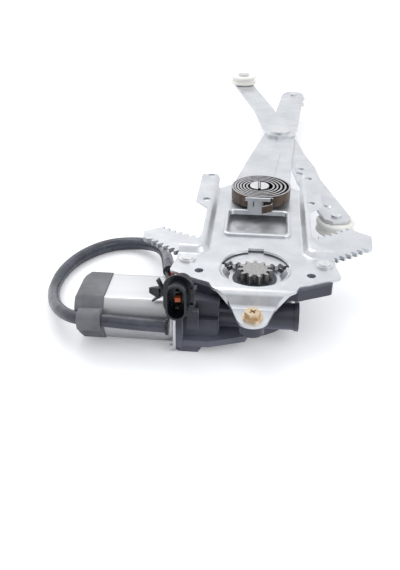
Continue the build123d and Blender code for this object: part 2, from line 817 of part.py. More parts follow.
# ---- harness -------------------------------------------------------------
sleeve_r = 4.75
wire_r = 1.2
sleeve_route = [
    (-58.0, -196.5, -35.0), (-82.0, -196.5, -35.0), (-106.0, -196.2, -33.4), (-130.0, -191.0, -35.5),
    (-149.0, -172.0, -41.0), (-162.0, -145.0, -46.5), (-169.5, -115.0, -47.2), (-167.5, -84.0, -47.2),
    (-156.0, -56.0, -47.2), (-135.0, -36.0, -47.2), (-108.5, -30.5, -46.0), (-89.0, -45.0, -40.0),
    (-78.5, -70.0, -32.0), (-72.5, -95.0, -24.0), (-68.2, -118.0, -17.0), (-64.0, -141.5, -12.05),
]


def bend_radii(points):
    """The radius of each corner's arc: as large as its two runs allow."""
    radii = []
    for before, corner, after in zip(points, points[1:], points[2:]):
        run_in = Vector(*corner) - Vector(*before)
        run_out = Vector(*after) - Vector(*corner)
        turn = radians(run_in.get_angle(run_out))
        radii.append(0.45 * min(run_in.length, run_out.length) / tan(turn / 2))
    return radii


def tube(points, radius):
    """A round tube along straight runs joined by tangent arcs."""
    radii = bend_radii(points)
    with BuildPart() as run:
        with BuildLine():
            path = FilletPolyline(*points, radius=radii)
        with BuildSketch(Plane(origin=path @ 0, z_dir=path % 0)):
            Circle(radius)
        sweep(path=path)
    return run.part, radii, path.length


sleeve, sleeve_radii, sleeve_length = tube(sleeve_route, sleeve_r)
save(sleeve, "cable_sleeve")
print("sleeve length", round(sleeve_length, 1), "smallest radius", round(min(sleeve_radii), 1))
print("sleeve volume / section x length", round(sleeve.volume / (pi * sleeve_r**2 * sleeve_length), 4))

# ---- motor ---------------------------------------------------------------
can_wall = 1.8
magnet_in = 17.0
core_r = 15.6
motor_shaft_r = 3.0
shaft_left = -112.0
cap_left = -130.0
cap_right = -105.0
cap_wall = 2.2


def can_face(grow):
    """The can's cross-section: a circle with its top and bottom cut flat."""
    Circle(can_r + grow)
    Rectangle(2 * can_r + 20, 2 * (can_flat + grow), mode=Mode.INTERSECT)


with BuildPart() as motor_can:
    with BuildSketch(along_x(can_left)):
        can_face(0)
    extrude(amount=can_right - can_left)
    with BuildSketch(along_x(can_left)):
        Circle(7.5)
    extrude(amount=-7)
    with BuildSketch(along_x(can_left + can_wall)):
        can_face(-can_wall)
    extrude(amount=200, mode=Mode.SUBTRACT)
    with BuildSketch(along_x(can_left - 5.5)):
        Circle(6)
    extrude(amount=20, mode=Mode.SUBTRACT)
save(motor_can.part, "motor_can")

with BuildPart() as end_plate:
    with BuildSketch(along_x(can_right)):
        motor_face(0)
        Circle(brush_bore_r, mode=Mode.SUBTRACT)
    extrude(amount=end_plate_thick)
save(end_plate.part, "end_plate")

with BuildPart() as end_cap:
    with BuildSketch(along_x(cap_left)):
        can_face(cap_wall)
    extrude(amount=cap_right - cap_left)
    chamfer(faces().sort_by(Axis.X)[0].edges(), 2.5)
    with BuildSketch(along_x(cap_left + 3)):
        with Locations((-27.5, -2.5)):
            RectangleRounded(18, 16, 5)
    extrude(amount=cap_right - cap_left - 3)
    add(tube(sleeve_route, sleeve_r + 0.1)[0], mode=Mode.SUBTRACT)
    with BuildSketch(along_x(can_left)):
        can_face(0)
    extrude(amount=60, mode=Mode.SUBTRACT)
    with BuildSketch(along_x(can_left)):
        Circle(9)
    extrude(amount=-12, mode=Mode.SUBTRACT)
save(end_cap.part, "end_cap")

for name, side in (("magnet_front", -1), ("magnet_rear", 1)):
    with BuildPart() as magnet:
        with BuildSketch(along_x(-102)):
            Circle(can_r - can_wall)
            Circle(magnet_in, mode=Mode.SUBTRACT)
            with Locations((side * 28, 0)):
                Rectangle(32, 28, mode=Mode.INTERSECT)
        extrude(amount=36)
    save(magnet.part, name)

slots = 8
with BuildPart() as armature_core:
    with BuildSketch(along_x(-100)):
        Circle(core_r)
        with PolarLocations(core_r - 3.2, slots):
            SlotOverall(6.0, 4.2, mode=Mode.SUBTRACT)
        with PolarLocations(core_r - 1, slots):
            Rectangle(4, 1.6, mode=Mode.SUBTRACT)
        Circle(motor_shaft_r, mode=Mode.SUBTRACT)
    extrude(amount=32)
save(armature_core.part, "armature_core")

with BuildPart() as windings:
    for x, reach in ((-100, -5), (-68, 7)):
        with BuildSketch(along_x(x)):
            Circle(13.5)
            Circle(motor_shaft_r, mode=Mode.SUBTRACT)
        extrude(amount=reach)
    with BuildSketch(along_x(-100)):
        with PolarLocations(core_r - 3.4, slots):
            SlotOverall(5.6, 3.8)
    extrude(amount=32)
save(windings.part, "windings")

with BuildPart() as commutator:
    with BuildSketch(along_x(-59)):
        Circle(6.5)
        with PolarLocations(6.5, slots):
            Rectangle(1.6, 0.6, mode=Mode.SUBTRACT)
        Circle(motor_shaft_r, mode=Mode.SUBTRACT)
    extrude(amount=15)
save(commutator.part, "commutator")

worm_left = -17.0
worm_right = 17.0
worm_pitch = 3.4
with BuildPart() as armature_shaft:
    with BuildSketch(along_x(shaft_left)):
        Circle(motor_shaft_r)
    extrude(amount=front_bush_end - shaft_left)
    with BuildSketch(along_x(worm_left)):
        Circle(worm_tip_r - 1.4)
    extrude(amount=worm_right - worm_left)
    for i in range(int((worm_right - worm_left) / worm_pitch)):
        with BuildSketch(along_x(worm_left + worm_pitch * (i + 0.25))):
            Circle(worm_tip_r)
        extrude(amount=worm_pitch / 2)
save(armature_shaft.part, "armature_shaft")


def sleeve_bearing(x, length, outer):
    with BuildPart() as bush:
        with BuildSketch(along_x(x)):
            Circle(outer)
            Circle(motor_shaft_r + running / 2, mode=Mode.SUBTRACT)
        extrude(amount=length)
    return bush.part


save(sleeve_bearing(can_left - 5.5, 7.0, 6.0), "rear_bearing")
save(sleeve_bearing(front_bush_x, front_bush_end - front_bush_x - 0.5, 5.0), "front_bearing")

with BuildPart() as thrust_plug:
    with BuildSketch(along_x(front_bush_end + 0.1)):
        Circle(5.0)
    extrude(amount=1.9)
save(thrust_plug.part, "thrust_plug")

with BuildPart() as brush_holder:
    with BuildSketch(along_x(-50)):
        Circle(brush_bore_r)
        Circle(7.2, mode=Mode.SUBTRACT)
        Rectangle(5.2, 40, mode=Mode.SUBTRACT)
    extrude(amount=3)
    with BuildSketch(along_x(-42)):
        Circle(brush_bore_r)
        Circle(motor_shaft_r + running, mode=Mode.SUBTRACT)
    extrude(amount=4.5)
    with BuildSketch(along_x(-47)):
        with Locations((9, 0), (-9, 0)):
            Rectangle(4, 8)
    extrude(amount=6)
save(brush_holder.part, "brush_holder")

for name, side in (("brush_upper", 1), ("brush_lower", -1)):
    with BuildPart() as brush:
        with BuildSketch(along_x(-55)):
            with Locations((0, side * 10.0)):
                Rectangle(5.2, 6.8)
        extrude(amount=8)
    save(brush.part, name)

# ---- fasteners -----------------------------------------------------------
for name, side in (("side_rivet_left", -1), ("side_rivet_right", 1)):
    save(turned(side * rivet_x, rivet_y, [
        (3.0, lug_floor - 2, panel_top), (6.3, panel_top, panel_top + 1.6), (4.6, panel_top + 1.6, panel_top + 2.3),
    ]), name)

bolt_af = 10.0
bolt_flange_r = 7.3
with BuildPart() as tongue_bolt:
    with BuildSketch(level(tongue_top)):
        with Locations((0, tongue_y)):
            Circle(bolt_flange_r)
    extrude(amount=1.4)
    with BuildSketch(level(tongue_top + 1.4)):
        with Locations((0, tongue_y)):
            RegularPolygon(bolt_af / 2, 6, major_radius=False, rotation=12)
    extrude(amount=3.6)
    with BuildSketch(level(tongue_top + 5.0)):
        with Locations(Location((0, tongue_y), 35)):
            Rectangle(5.2, 1.3)
            Rectangle(1.3, 5.2)
    extrude(amount=-2.4, mode=Mode.SUBTRACT)
    with BuildSketch(level(insert_low + 1)):
        with Locations((0, tongue_y)):
            Circle(3.0)
    extrude(amount=tongue_top - insert_low - 1)
save(tongue_bolt.part, "tongue_bolt")

with BuildPart() as tongue_insert:
    with BuildSketch(level(insert_low)):
        with Locations((0, tongue_y)):
            Circle(insert_r)
            Circle(3.0, mode=Mode.SUBTRACT)
    extrude(amount=tongue_top - plate - insert_low)
save(tongue_insert.part, "tongue_insert")

for number, (x, y) in enumerate(cover_screws, 1):
    save(turned(x, y, [(3.2, table + 0.6, table + 2.4), (1.6, table + 2.4, cover_top)]), f"cover_screw_{number}")

can_screws = [(-22.6, -16.8), (-22.4, 16.0)]
for number, (y, z) in enumerate(can_screws, 1):
    with BuildPart() as screw:
        with BuildSketch(along_x(can_right)):
            with Locations((y, z)):
                Circle(2.2)
        extrude(amount=-2.4)
    save(screw.part, f"can_screw_{number}")

# ---- connector on the harness -------------------------------------------
mouth = (-51.3, pinion_y - 60.2, panel_top + 3.2)
reach = Vector(-0.07, -1, 0).normalized()
shell_w = 14.4
shell_h = 27.0
shell_wall = 1.5
shell_long = 13.2
collar_back = 8.5
collar_wide = 3.2
neck_w = 13.0
neck_h = 18.0
neck_long = 13.3
cavity = 11.5


def plug_plane(back):
    """The plane across the plug, `back` behind its mouth, with its y up the long way of the oval."""
    origin = Vector(*mouth) - reach * back
    across = Vector(-reach.Y, reach.X, 0).normalized()
    return Plane(origin=origin, x_dir=across, z_dir=reach)


with BuildPart() as connector_shell:
    with BuildSketch(plug_plane(0)):
        SlotOverall(shell_h, shell_w, rotation=90)
    extrude(amount=-shell_long)
    with BuildSketch(plug_plane(collar_back)):
        SlotOverall(shell_h + 2 * collar_wide, shell_w + 2 * collar_wide, rotation=90)
    extrude(amount=-1.4)
    with BuildSketch(plug_plane(shell_long)):
        SlotOverall(neck_h, neck_w, rotation=90)
    extrude(amount=-neck_long)
    with BuildSketch(plug_plane(collar_back + 1.4)):
        with Locations((shell_w / 2 + 1.2, 0)):
            Rectangle(2.8, 19)
    extrude(amount=-4)
    with BuildSketch(plug_plane(collar_back - 1.6)):
        with Locations((shell_w / 2 + 3.4, 6.2), (shell_w / 2 + 2.6, -6.2)):
            Rectangle(3.6, 3.6)
    extrude(amount=-6)
    with BuildSketch(plug_plane(0)):
        SlotOverall(shell_h - 2 * shell_wall, shell_w - 2 * shell_wall, rotation=90)
    extrude(amount=-cavity, mode=Mode.SUBTRACT)
save(connector_shell.part, "connector_shell")

with BuildPart() as connector_seal:
    with BuildSketch(plug_plane(cavity)):
        Rectangle(4.4, 5.0)
    extrude(amount=5)
save(connector_seal.part, "connector_seal")

for name, offset in (("terminal_upper", 6.2), ("terminal_lower", -6.2)):
    with BuildPart() as terminal:
        with BuildSketch(plug_plane(cavity)):
            with Locations((0, offset)):
                Rectangle(2.4, 0.8)
        extrude(amount=7)
    save(terminal.part, name)

plug_back = Vector(*mouth) - reach * (shell_long + neck_long)
sleeve_end = Vector(*sleeve_route[-1])
sleeve_way = (sleeve_end - Vector(*sleeve_route[-2])).normalized()
for name, offset in (("wire_red", 2.0), ("wire_black", -2.0)):
    start = sleeve_end + Vector(0, 0, 1).cross(sleeve_way).normalized() * offset
    over_can = Vector(-60.4 + 0.9 * offset, pinion_y - 15.0, panel_top - 4.2)
    end = plug_back + plug_plane(0).x_dir * offset
    route = [start, start + sleeve_way * 5, over_can, end - reach * 7, end]
    save(tube([tuple(point) for point in route], wire_r)[0], name)

with BuildPart() as cable_gland:
    with BuildSketch(along_x(can_right - 2.5, sleeve_route[0][1], sleeve_route[0][2])):
        Circle(sleeve_r + 2.6)
        Circle(sleeve_r + 0.05, mode=Mode.SUBTRACT)
    extrude(amount=-4)
    with BuildSketch(along_x(can_left)):
        can_face(0)
    extrude(amount=60, mode=Mode.SUBTRACT)
save(cable_gland.part, "cable_gland")

clip_foot = Vector(*mouth) - reach * 13.0 + Vector(-8.0, 0, -0.6)
clip_way = Vector(-0.96, 0.22, 0.05).normalized()
clip_blades = [(-5.0, 2.0, 10.0), (-8.5, 1.5, -6.6)]
with BuildPart() as harness_clip:
    with BuildSketch(Plane(origin=clip_foot, z_dir=clip_way)):
        Circle(2.2)
    extrude(amount=8)
    for blade in clip_blades:
        with BuildSketch(Plane(origin=clip_foot + clip_way * 2, x_dir=clip_way, z_dir=Vector(*blade))):
            Rectangle(1.3, 4.2)
        extrude(amount=Vector(*blade).length)
    with BuildSketch(Plane(origin=clip_foot + clip_way * 5.5, x_dir=(0, 0, 1), z_dir=clip_way)):
        RectangleRounded(9, 6, 2)
    extrude(amount=8, taper=18)
save(harness_clip.part, "harness_clip")
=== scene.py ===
"""The window regulator's looks: camera, finishes, slim motor, harness, floor and lights.

Blender's lengths are metres in the CAD's own frame. Places on the harness and the motor are written in
millimetres, as in part.py, and turned into metres by MM.
"""
import json
from math import cos, pi, radians, sin

import bpy
from mathutils import Matrix, Vector


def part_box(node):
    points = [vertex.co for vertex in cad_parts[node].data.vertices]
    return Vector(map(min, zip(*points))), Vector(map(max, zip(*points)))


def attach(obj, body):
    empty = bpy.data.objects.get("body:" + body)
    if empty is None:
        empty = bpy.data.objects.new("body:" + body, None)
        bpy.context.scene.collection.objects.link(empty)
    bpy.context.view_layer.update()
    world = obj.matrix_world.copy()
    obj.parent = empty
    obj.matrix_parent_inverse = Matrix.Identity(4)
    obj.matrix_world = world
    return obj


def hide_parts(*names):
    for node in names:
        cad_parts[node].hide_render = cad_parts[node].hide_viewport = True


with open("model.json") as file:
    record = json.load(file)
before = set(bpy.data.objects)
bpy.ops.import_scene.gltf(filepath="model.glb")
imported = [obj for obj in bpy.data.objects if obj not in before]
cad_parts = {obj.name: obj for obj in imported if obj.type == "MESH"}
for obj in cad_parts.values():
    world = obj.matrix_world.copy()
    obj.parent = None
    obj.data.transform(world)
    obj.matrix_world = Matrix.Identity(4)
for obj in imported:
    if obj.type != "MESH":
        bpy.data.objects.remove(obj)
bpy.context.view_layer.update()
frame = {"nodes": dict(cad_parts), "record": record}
MM = 0.001

# ---- places in the frame -------------------------------------------------
PIVOT_Y = -13 * MM
PANEL_TOP = -5 * MM
PANEL_OVER_FLOOR = 47 * MM
FLOOR_Z = PANEL_TOP - PANEL_OVER_FLOOR


def new_object(name, data):
    obj = bpy.data.objects.new(name, data)
    bpy.context.collection.objects.link(obj)
    return obj


# ---- camera, as fitted to the photo --------------------------------------
FOCAL_PX = 700
LONG_SIDE_PX = 570
SENSOR_MM = 36
NEAREST_SEEN = 0.01
PITCH = radians(30.03)
YAW = radians(-5.19)
ROLL = radians(0.38)
CAMERA_AT = Vector((0.6, -596.7, 241.9)) * MM


def make_camera():
    """Look down by PITCH and aside by YAW, then roll about the line of sight."""
    right = Vector((cos(YAW), -sin(YAW), 0))
    ahead = Vector((sin(YAW) * cos(PITCH), cos(YAW) * cos(PITCH), -sin(PITCH)))
    up = right.cross(ahead)
    across = right * cos(ROLL) + up * sin(ROLL)
    upward = up * cos(ROLL) - right * sin(ROLL)
    data = bpy.data.cameras.new("camera")
    data.sensor_fit = "AUTO"
    data.sensor_width = SENSOR_MM
    data.lens = SENSOR_MM * FOCAL_PX / LONG_SIDE_PX
    data.clip_start = NEAREST_SEEN
    camera = new_object("camera", data)
    camera.matrix_world = Matrix((
        (across.x, upward.x, -ahead.x, CAMERA_AT.x),
        (across.y, upward.y, -ahead.y, CAMERA_AT.y),
        (across.z, upward.z, -ahead.z, CAMERA_AT.z),
        (0, 0, 0, 1),
    ))
    bpy.context.scene.camera = camera


# ---- node trees ----------------------------------------------------------
# Most of a noise texture's values lie between these two.
NOISE_LOW, NOISE_HIGH = 0.3, 0.7


class Tree:
    """A node tree, with short calls for the nodes that the finishes and the surroundings share."""

    def __init__(self, tree):
        self.tree = tree
        self.coordinates = self.add("TexCoord").outputs
        self.place = self.coordinates["Object"]

    def feed(self, socket, value):
        """Give a socket a plain value, or link it to another node's output."""
        if isinstance(value, bpy.types.NodeSocket):
            self.tree.links.new(value, socket)
        else:
            socket.default_value = value

    def add(self, kind, inputs=None, **settings):
        """A new node with these settings, its inputs fed by name or by number."""
        node = self.tree.nodes.new("ShaderNode" + kind)
        for name, value in settings.items():
            setattr(node, name, value)
        for key, value in (inputs or {}).items():
            self.feed(node.inputs[key], value)
        return node

    def noise(self, scale, detail, stretch=(1, 1, 1), rough=0.5):
        """Clouds in the object's own space, drawn out along an axis where `stretch` is small."""
        place = self.add("Mapping", {"Vector": self.place, "Scale": stretch}).outputs["Vector"]
        inputs = {"Vector": place, "Scale": scale, "Detail": detail, "Roughness": rough}
        return self.add("TexNoise", inputs).outputs["Fac"]

    def cells(self, scale):
        return self.add("TexVoronoi", {"Vector": self.place, "Scale": scale}).outputs["Distance"]

    def z_of(self, coordinate):
        return self.add("SeparateXYZ", {"Vector": self.coordinates[coordinate]}).outputs["Z"]

    def span(self, source, low, high, out_low, out_high):
        """Turn the range from `low` to `high` into the range from `out_low` to `out_high`."""
        inputs = {"Value": source, "From Min": low, "From Max": high, "To Min": out_low, "To Max": out_high}
        return self.add("MapRange", inputs).outputs["Result"]

    def spread(self, noise, low, high):
        return self.span(noise, NOISE_LOW, NOISE_HIGH, low, high)

    def facing_up(self):
        """0 on a piece's sides and 1 on its top."""
        return self.span(self.z_of("Normal"), 0.5, 0.9, 0.0, 1.0)

    def ramp(self, source, stops):
        """Colours along a scale from 0 to 1, given as (position, (red, green, blue))."""
        node = self.add("ValToRGB", {"Fac": source})
        elements = node.color_ramp.elements
        while len(elements) < len(stops):
            elements.new(0.5)
        for element, (position, colour) in zip(elements, stops):
            element.position = position
            element.color = (*colour, 1)
        return node.outputs["Color"]

    def mottled(self, noise, dark, light):
        return self.ramp(noise, [(NOISE_LOW, dark), (NOISE_HIGH, light)])

    def mix(self, factor, first, second):
        """The first at 0 and the second at 1, each a (red, green, blue) or another node's output."""
        node = self.add("Mix", data_type="RGBA")
        sockets = [socket for socket in node.inputs if socket.enabled]
        for socket, value in zip(sockets, (factor, first, second)):
            self.feed(socket, (*value, 1) if isinstance(value, tuple) else value)
        return next(output for output in node.outputs if output.enabled)

    def seen_by_camera(self):
        return self.add("LightPath").outputs["Is Camera Ray"]


class Finish(Tree):
    """A material, made by feeding its shader."""

    def __init__(self, name):
        self.material = bpy.data.materials.new(name)
        self.material.use_nodes = True
        super().__init__(self.material.node_tree)
        self.shader = self.tree.nodes["Principled BSDF"]

    def shade(self, **inputs):
        """Feed the shader's inputs, with an underscore for each space in a name."""
        for name, value in inputs.items():
            self.feed(self.shader.inputs[name.replace("_", " ")], value)

    def bump(self, noise, strength, depth):
        """Raise the surface by a noise, on top of any bump before it."""
        node = self.add("Bump", {"Height": noise, "Strength": strength, "Distance": depth})
        normal = self.shader.inputs["Normal"]
        if normal.links:
            self.feed(node.inputs["Normal"], normal.links[0].from_socket)
        self.feed(normal, node.outputs["Normal"])


# ---- finishes ------------------------------------------------------------
ZINC_CLOUDS = [(0.28, (0.60, 0.62, 0.65)), (0.5, (0.68, 0.70, 0.725)), (0.72, (0.755, 0.775, 0.80))]
COIL_AXIS = (1.8 * MM, PIVOT_Y, 0)
# Painted shade on the spring gives way to the outer turn's brown between these distances from the coil's
# axis.
OUTER_TURN_FROM, OUTER_TURN_TO = 24.5 * MM, 25.2 * MM
# Painted floor light on the housing: none above the first height, full below the second.
FLOOR_LIGHT_FADES_ABOVE, FLOOR_LIGHT_FULL_BELOW = -27 * MM, -44 * MM


def galvanised():
    """Bright zinc plate: cloudy mottling, faint spangle, fine scuffs along the pressing."""
    n = Finish("galvanised")
    spangle = n.span(n.cells(380), 0, 0.7, 0.22, 0.0)
    flaked = n.mix(spangle, n.ramp(n.noise(48, 5), ZINC_CLOUDS), (0.56, 0.56, 0.56))
    scuffs = n.span(n.noise(30, 6, stretch=(1, 9, 1), rough=0.7), 0.62, 0.75, 0.0, 0.25)
    n.shade(Metallic=0.92, Base_Color=n.mix(scuffs, flaked, (0.84, 0.86, 0.88)),
            Roughness=n.span(n.noise(140, 4), 0.3, 0.75, 0.28, 0.46))
    n.bump(n.noise(800, 2), 0.03, depth=0.2 * MM)
    n.bump(n.noise(70, 2), 0.05, depth=0.8 * MM)
    return n.material


def coiled_strip():
    """Blued spring steel: bright ground edges on top, a brown outer turn, and painted shade, near black, on
    the sides of the turns within.
    """
    n = Finish("spring_steel")
    flat = n.add("VectorMath", {0: n.place, 1: (1, 1, 0)}, operation="MULTIPLY").outputs["Vector"]
    from_axis = n.add("VectorMath", {0: flat, 1: COIL_AXIS}, operation="DISTANCE").outputs["Value"]
    brown = n.mottled(n.noise(200, 4, stretch=(1, 1, 0.3)), (0.055, 0.038, 0.030), (0.16, 0.11, 0.08))
    # Painted shade: the sides of the inner turns are near black, where shade falls between them; the outer
    # turn keeps its brown.
    outer_turn_clear_of_painted_shade = n.span(from_axis, OUTER_TURN_FROM, OUTER_TURN_TO, 0.0, 1.0)
    side = n.mix(outer_turn_clear_of_painted_shade, (0.008, 0.007, 0.006), brown)
    top = n.mottled(n.noise(500, 3), (0.33, 0.325, 0.335), (0.60, 0.59, 0.605))
    n.shade(Metallic=0.6, Base_Color=n.mix(n.facing_up(), side, top),
            Roughness=n.spread(n.noise(600, 3), 0.3, 0.5))
    n.bump(n.noise(900, 2), 0.08, depth=0.2 * MM)
    return n.material


def sintered():
    """Pressed and sintered steel: grey on top, with painted shade, dark and shiny, on the teeth's flanks.
    """
    n = Finish("sintered_steel")
    top = n.mottled(n.noise(900, 4), (0.30, 0.295, 0.29), (0.50, 0.49, 0.48))
    # Painted shade: the flanks are darker, standing in for the dark well that they face.
    painted_shade_flank = n.mottled(n.noise(400, 4, stretch=(1, 1, 0.3)), (0.10, 0.097, 0.095), (0.26, 0.255, 0.25))
    n.shade(Metallic=0.85, Base_Color=n.mix(n.facing_up(), painted_shade_flank, top),
            Roughness=n.spread(n.noise(600, 3), 0.24, 0.44))
    n.bump(n.noise(900, 2), 0.06, depth=0.2 * MM)
    return n.material


def drawn_can():
    """Deep-drawn plated steel: faint lines along the can and a satin shine."""
    n = Finish("can_metal")
    lines = n.noise(420, 3, stretch=(0.04, 1, 1))
    lined = n.mottled(lines, (0.58, 0.585, 0.59), (0.645, 0.65, 0.655))
    clouds = n.span(n.noise(34, 3), 0.35, 0.7, 0.0, 0.45)
    n.shade(Metallic=0.9, Base_Color=n.mix(clouds, lined, (0.62, 0.63, 0.65)),
            Roughness=n.spread(lines, 0.32, 0.42))
    n.bump(lines, 0.05, depth=0.2 * MM)
    return n.material


def sleeving():
    """Soft vinyl sleeving, creased along its run, with a dull shine."""
    n = Finish("sleeve_vinyl")
    n.shade(Base_Color=n.mottled(n.noise(45, 4), (0.026, 0.030, 0.041), (0.078, 0.086, 0.110)),
            Roughness=n.spread(n.noise(90, 3), 0.18, 0.34))
    n.bump(n.noise(55, 2), 0.55, depth=1.6 * MM)
    n.bump(n.noise(600, 2), 0.08, depth=0.3 * MM)
    return n.material


def housing_plastic():
    """Glass-filled nylon: blue-black, satin, hazed where light grazes it, with painted floor light
    lightening it towards its lower edge.
    """
    n = Finish("housing_plastic")
    clouds = n.noise(26, 5)
    plain = n.mottled(clouds, (0.015, 0.017, 0.026), (0.038, 0.042, 0.060))
    # Painted floor light: a paler copy of the plastic, mixed in towards the lower edge, where the floor
    # lights it.
    floor_lit = n.mottled(clouds, (0.100, 0.107, 0.140), (0.155, 0.165, 0.205))
    painted_floor_light = n.span(n.z_of("Object"), FLOOR_LIGHT_FADES_ABOVE, FLOOR_LIGHT_FULL_BELOW, 0.0, 1.0)
    n.shade(Base_Color=n.mix(painted_floor_light, plain, floor_lit), Roughness=n.spread(n.noise(60, 4), 0.32, 0.5),
            Sheen_Weight=0.45, Sheen_Roughness=0.45, Sheen_Tint=(0.75, 0.8, 1.0, 1))
    n.bump(n.noise(1300, 2), 0.14, depth=0.3 * MM)
    n.bump(n.noise(60, 2), 0.05, depth=0.8 * MM)
    return n.material


def plain_metal(name, dark, light, smoothest, roughest, scale=300, metallic=0.85):
    """A metal clouded from dark to light, its roughness between the two given."""
    n = Finish(name)
    n.shade(Metallic=metallic, Base_Color=n.mottled(n.noise(scale, 4), dark, light),
            Roughness=n.spread(n.noise(scale * 1.7, 3), smoothest, roughest))
    n.bump(n.noise(scale * 4, 2), 0.05, depth=0.2 * MM)
    return n.material


def moulded(name, dark, light, smoothest, roughest, grain=1400, bump=0.12):
    """Moulded plastic or rubber: fine grain, slight cloudiness and handling sheen."""
    n = Finish(name)
    n.shade(Base_Color=n.ramp(n.noise(70, 4), [(0.32, dark), (0.7, light)]),
            Roughness=n.spread(n.noise(120, 3), smoothest, roughest))
    n.bump(n.noise(grain, 2), bump, depth=0.3 * MM)
    return n.material


# Dark and light colour, smoothest and roughest; then the clouds' scale and the metallic share, if unusual.
PLAIN_METALS = {
    "rivet_steel": ((0.66, 0.67, 0.68), (0.80, 0.81, 0.81), 0.25, 0.42),
    "shaft_steel": ((0.5, 0.5, 0.5), (0.62, 0.62, 0.62), 0.2, 0.35),
    "lamination": ((0.28, 0.28, 0.3), (0.38, 0.38, 0.4), 0.35, 0.5),
    "magnet_ferrite": ((0.1, 0.1, 0.11), (0.15, 0.15, 0.16), 0.5, 0.7, 300, 0.2),
    "copper": ((0.55, 0.27, 0.15), (0.75, 0.42, 0.25), 0.25, 0.4),
    "bronze": ((0.5, 0.36, 0.2), (0.64, 0.48, 0.28), 0.3, 0.45),
    "brass": ((0.65, 0.5, 0.22), (0.78, 0.63, 0.32), 0.2, 0.35),
    # Tin is painted shade here: near black, as the terminals sit in shade deep in the plug's mouth.
    "tin": ((0.05, 0.05, 0.05), (0.10, 0.10, 0.10), 0.55, 0.7),
    "carbon": ((0.06, 0.06, 0.06), (0.12, 0.12, 0.12), 0.5, 0.7, 300, 0.1),
    "yellow_zinc": ((0.60, 0.43, 0.29), (0.82, 0.67, 0.47), 0.16, 0.28, 110),
}

# Dark and light colour, smoothest and roughest; then the grain's scale and its bump, if unusual.
MOULDINGS = {
    "cap_rubber": ((0.118, 0.123, 0.133), (0.180, 0.187, 0.202), 0.5, 0.7),
    "damper_rubber": ((0.02, 0.02, 0.02), (0.04, 0.04, 0.04), 0.6, 0.8),
    "wheel_nylon": ((0.7, 0.69, 0.65), (0.8, 0.79, 0.75), 0.35, 0.5),
    "nylon": ((0.80, 0.79, 0.74), (0.88, 0.87, 0.83), 0.35, 0.5, 500, 0.05),
    "connector_plastic": ((0.004, 0.005, 0.009), (0.011, 0.014, 0.022), 0.2, 0.32),
    "seal_red": ((0.50, 0.07, 0.02), (0.70, 0.14, 0.04), 0.35, 0.5),
    "wire_red": ((0.45, 0.02, 0.02), (0.6, 0.04, 0.03), 0.3, 0.45),
    "wire_black": ((0.015, 0.015, 0.015), (0.03, 0.03, 0.03), 0.3, 0.45),
}


def make_materials():
    """The finish for each material slot."""
    finishes = {
        "galvanised": galvanised(),
        "spring_steel": coiled_strip(),
        "sintered_steel": sintered(),
        "can_metal": drawn_can(),
        "sleeve_vinyl": sleeving(),
        "housing_plastic": housing_plastic(),
    }
    finishes.update({name: plain_metal(name, *values) for name, values in PLAIN_METALS.items()})
    finishes.update({name: moulded(name, *values) for name, values in MOULDINGS.items()})
    return finishes


MATERIALS = make_materials()
SLOTS = {subpart["node"]: subpart["material_slot"] for subpart in frame["record"]["subparts"]}
SHARP_FROM = radians(35)


def dress_frame():
    """Give every CAD node the finish of its slot."""
    for name, obj in frame["nodes"].items():
        obj.data.materials.clear()
        obj.data.materials.append(MATERIALS[SLOTS[name]])


def finish_piece(piece, node):
    """Give a new piece the finish of the CAD node that it stands for, and let it ride on the base."""
    piece.data.materials.append(MATERIALS[SLOTS[node]])
    for face in piece.data.polygons:
        face.use_smooth = True
    piece.data.set_sharp_from_angle(angle=SHARP_FROM)
    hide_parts(node)
    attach(piece, "base")


# ---- floor, surroundings and lights --------------------------------------
FLOOR_REACH = 6.0
FLOOR_COLOUR = (0.90, 0.91, 0.935, 1)
FLOOR_GLOW = 0.24

# The surroundings' greys, from straight away from this direction, at 0, to straight along it, at 1.
LOW_BEHIND_CAMERA = (-0.083, -0.662, -0.745)
GREYS = [(0.0, 0.97), (0.35, 0.95), (0.5, 0.84), (0.64, 0.56), (0.72, 0.36), (0.8, 0.24), (1.0, 0.3)]
GREEN_SHARE, BLUE_SHARE = 1.01, 1.03

# Place, the point that it faces, side and power.
LIGHTS = {
    "key": ((-0.5, 0.5, 1.1), (0, -0.05, 0), 0.9, 5.5),
    "fill": ((0.8, -0.7, 0.8), (0, -0.1, 0), 0.8, 3),
}


def make_floor():
    """A pale floor that looks a little brighter to the camera than its light alone makes it."""
    mesh = bpy.data.meshes.new("floor")
    corners = [(-1, -1), (1, -1), (1, 1), (-1, 1)]
    mesh.from_pydata([(x * FLOOR_REACH, y * FLOOR_REACH, FLOOR_Z) for x, y in corners], [], [(0, 1, 2, 3)])
    floor = new_object("floor", mesh)
    n = Finish("floor")
    glow = n.add("Math", {0: n.seen_by_camera(), 1: FLOOR_GLOW}, operation="MULTIPLY").outputs["Value"]
    n.shade(Base_Color=FLOOR_COLOUR, Roughness=0.5, Specular_IOR_Level=0.25,
            Emission_Color=(1, 1, 1, 1), Emission_Strength=glow)
    mesh.materials.append(n.material)


def make_surroundings():
    """A pale studio: white to the eye and overhead, dimmer low down behind the camera."""
    world = bpy.data.worlds.new("world")
    bpy.context.scene.world = world
    world.use_nodes = True
    t = Tree(world.node_tree)
    ways = {0: t.coordinates["Generated"], 1: LOW_BEHIND_CAMERA}
    toward = t.add("VectorMath", ways, operation="DOT_PRODUCT").outputs["Value"]
    stops = [(position, (grey, grey * GREEN_SHARE, grey * BLUE_SHARE)) for position, grey in GREYS]
    tones = t.ramp(t.span(toward, -1, 1, 0, 1), stops)
    background = t.tree.nodes["Background"]
    t.feed(background.inputs["Color"], t.mix(t.seen_by_camera(), tones, (1, 1, 1)))
    t.feed(background.inputs["Strength"], 1.0)


